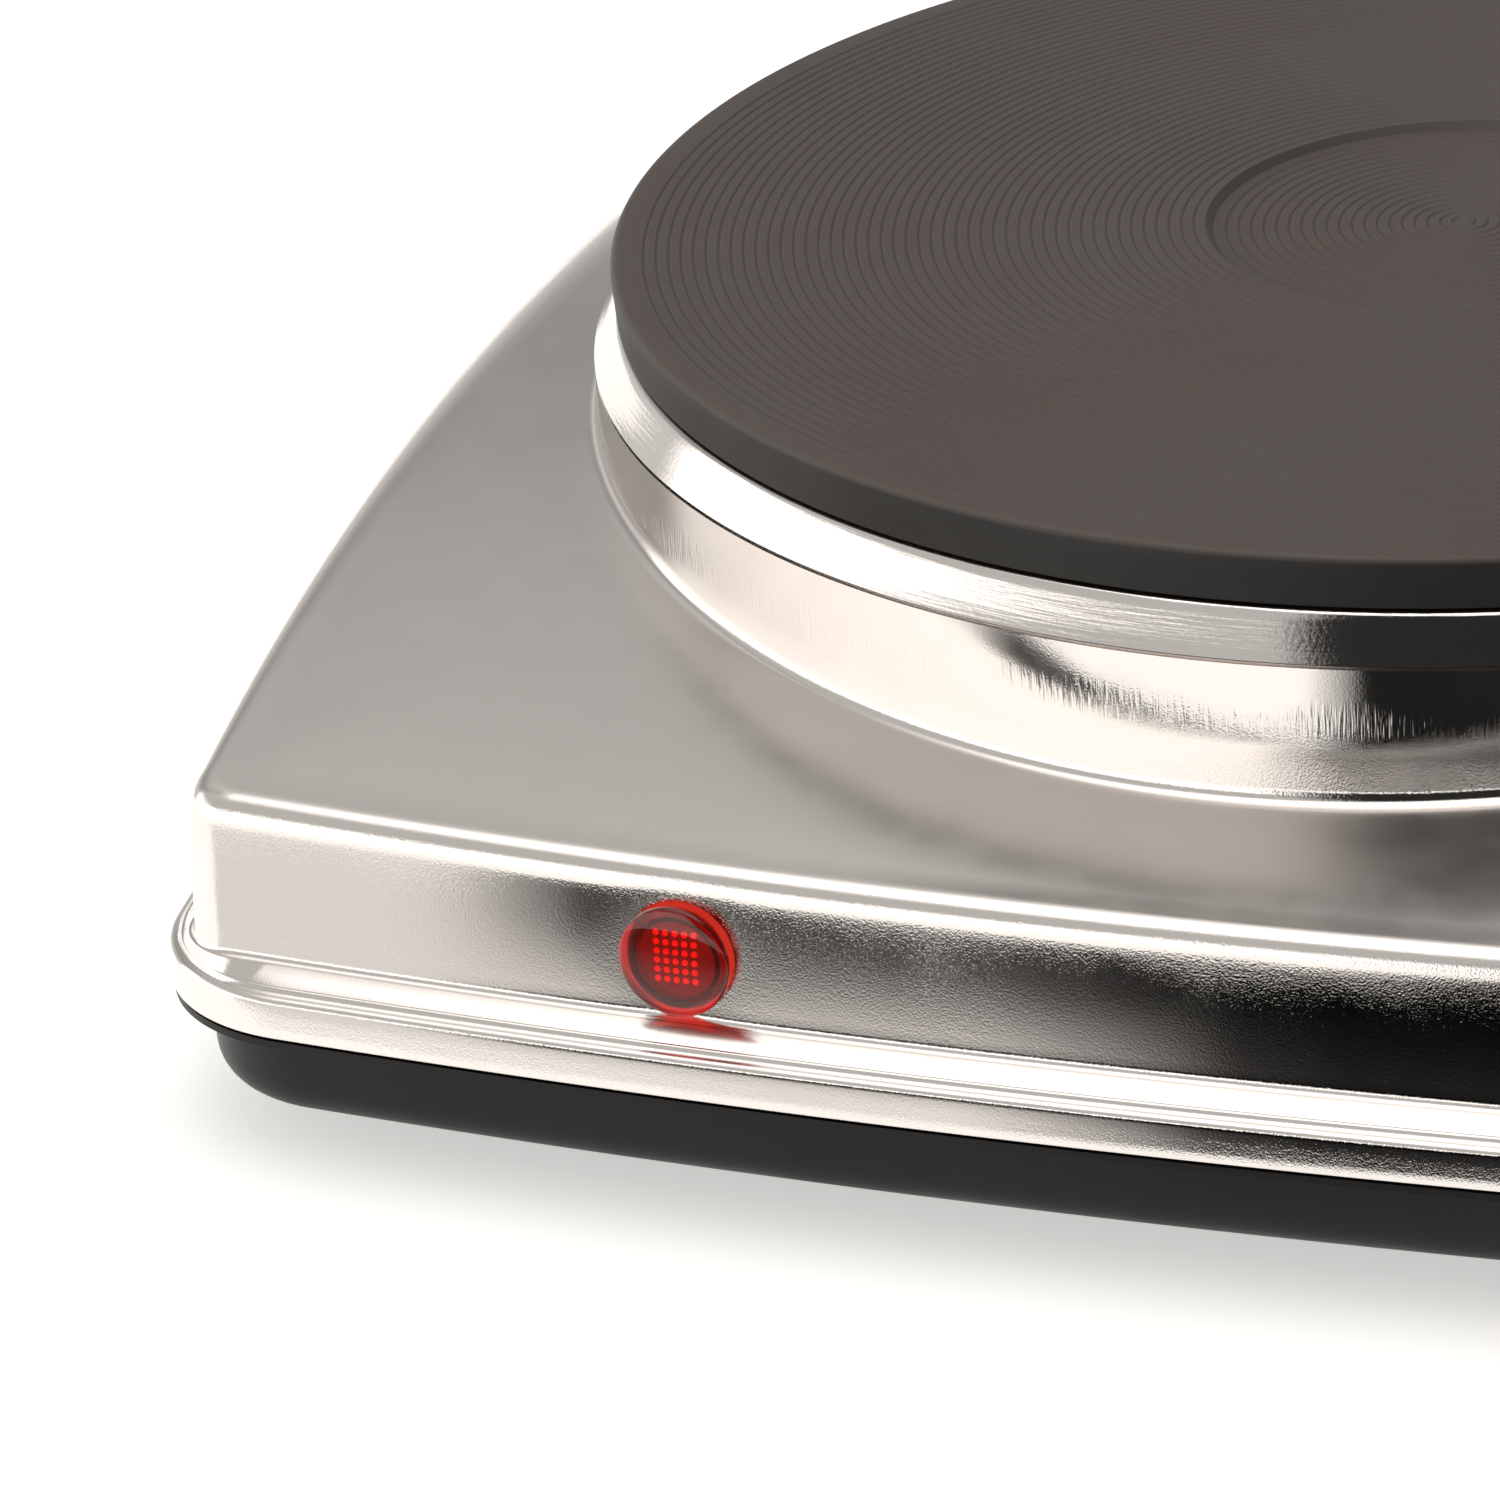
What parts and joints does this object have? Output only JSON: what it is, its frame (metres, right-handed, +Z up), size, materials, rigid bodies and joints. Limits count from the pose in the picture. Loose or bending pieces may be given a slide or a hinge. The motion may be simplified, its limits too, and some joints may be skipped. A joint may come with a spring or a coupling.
{
  "type": "electric hot plate burner",
  "caption": "Electric hot plate: round cast-iron cooking plate on a polished square steel body with black base pan, rotary thermostat knob and red indicator lamp.",
  "frame": {"origin": "on the table, at the middle of the footprint (bounding box bottom centre); the plate's axis is 8.7 mm behind it because the knob stands out at the front", "axes": "+Z up, -Y to the front where the knob and lamp are, +X to the user's right"},
  "size_m": [0.2388, 0.2657, 0.0685],
  "materials": {
    "polished_steel": "bright polished pressed steel with fine orange peel",
    "cast_iron": "turned and blacked, satin",
    "black_enamel": "black stove enamel, satin",
    "black_plastic": "black heat-resistant phenolic, fine texture",
    "white_plastic": "white inlay",
    "red_lens": "clear red moulded polycarbonate",
    "clear_glass": "clear bulb glass",
    "foot_rubber": "moulded black rubber",
    "zinc_steel": "zinc-plated steel",
    "brass": "turned brass",
    "ceramic": "unglazed steatite ceramic",
    "glass_sleeve": "braided glass-fibre sleeve",
    "earth_sleeve": "green and yellow heat-resistant lead"
  },
  "bodies": {
    "housing": {"shell": "polished_steel", "trim_ring": "polished_steel", "hot_plate": "cast_iron", "heating_coil": "zinc_steel", "cement_disc": "ceramic", "element_cover": "zinc_steel", "terminal_bead_left": "ceramic", "terminal_bead_right": "ceramic", "terminal_pin_left": "zinc_steel", "terminal_pin_right": "zinc_steel", "heat_shield": "zinc_steel", "clamp_bar": "zinc_steel", "centre_stud": "zinc_steel", "stud_washer": "zinc_steel", "stud_nut": "zinc_steel", "base_pan": "black_enamel", "thermostat_bush": "brass", "thermostat_nut": "zinc_steel", "thermostat_washer": "zinc_steel", "thermostat_bracket": "zinc_steel", "thermostat_spacer_1": "ceramic", "thermostat_spacer_2": "ceramic", "contact_blade": "brass", "bimetal_blade": "zinc_steel", "stack_rivet": "zinc_steel", "lamp_lens": "red_lens", "lamp_clip": "zinc_steel", "neon_bulb": "clear_glass", "lamp_plug": "black_plastic", "cord_gland": "black_plastic", "gland_nut": "black_plastic", "terminal_block": "ceramic", "terminal_screw_1": "brass", "terminal_screw_2": "brass", "terminal_screw_3": "brass", "block_screw": "zinc_steel", "earth_screw": "brass", "earth_nut": "brass", "lead_live": "glass_sleeve", "lead_element": "glass_sleeve", "lead_neutral": "glass_sleeve", "lead_earth": "earth_sleeve", "lamp_lead_neutral": "glass_sleeve", "lamp_lead_live": "glass_sleeve", "corner_gusset_front_left": "zinc_steel", "foot_front_left": "foot_rubber", "foot_screw_front_left": "zinc_steel", "corner_gusset_front_right": "zinc_steel", "foot_front_right": "foot_rubber", "foot_screw_front_right": "zinc_steel", "corner_gusset_back_left": "zinc_steel", "foot_back_left": "foot_rubber", "foot_screw_back_left": "zinc_steel", "corner_gusset_back_right": "zinc_steel", "foot_back_right": "foot_rubber", "foot_screw_back_right": "zinc_steel"},
    "knob": {"control_knob": "black_plastic", "knob_pointer": "white_plastic", "thermostat_shaft": "brass", "knob_clip": "zinc_steel"}
  },
  "joints": [
    {"name": "knob_turn", "type": "hinge", "parent": "housing", "child": "knob", "pos_m": [0.069, -0.10723, 0.0296], "axis": [-0.069, 0.9976, 0], "range_deg": [0, 270]}
  ]
}
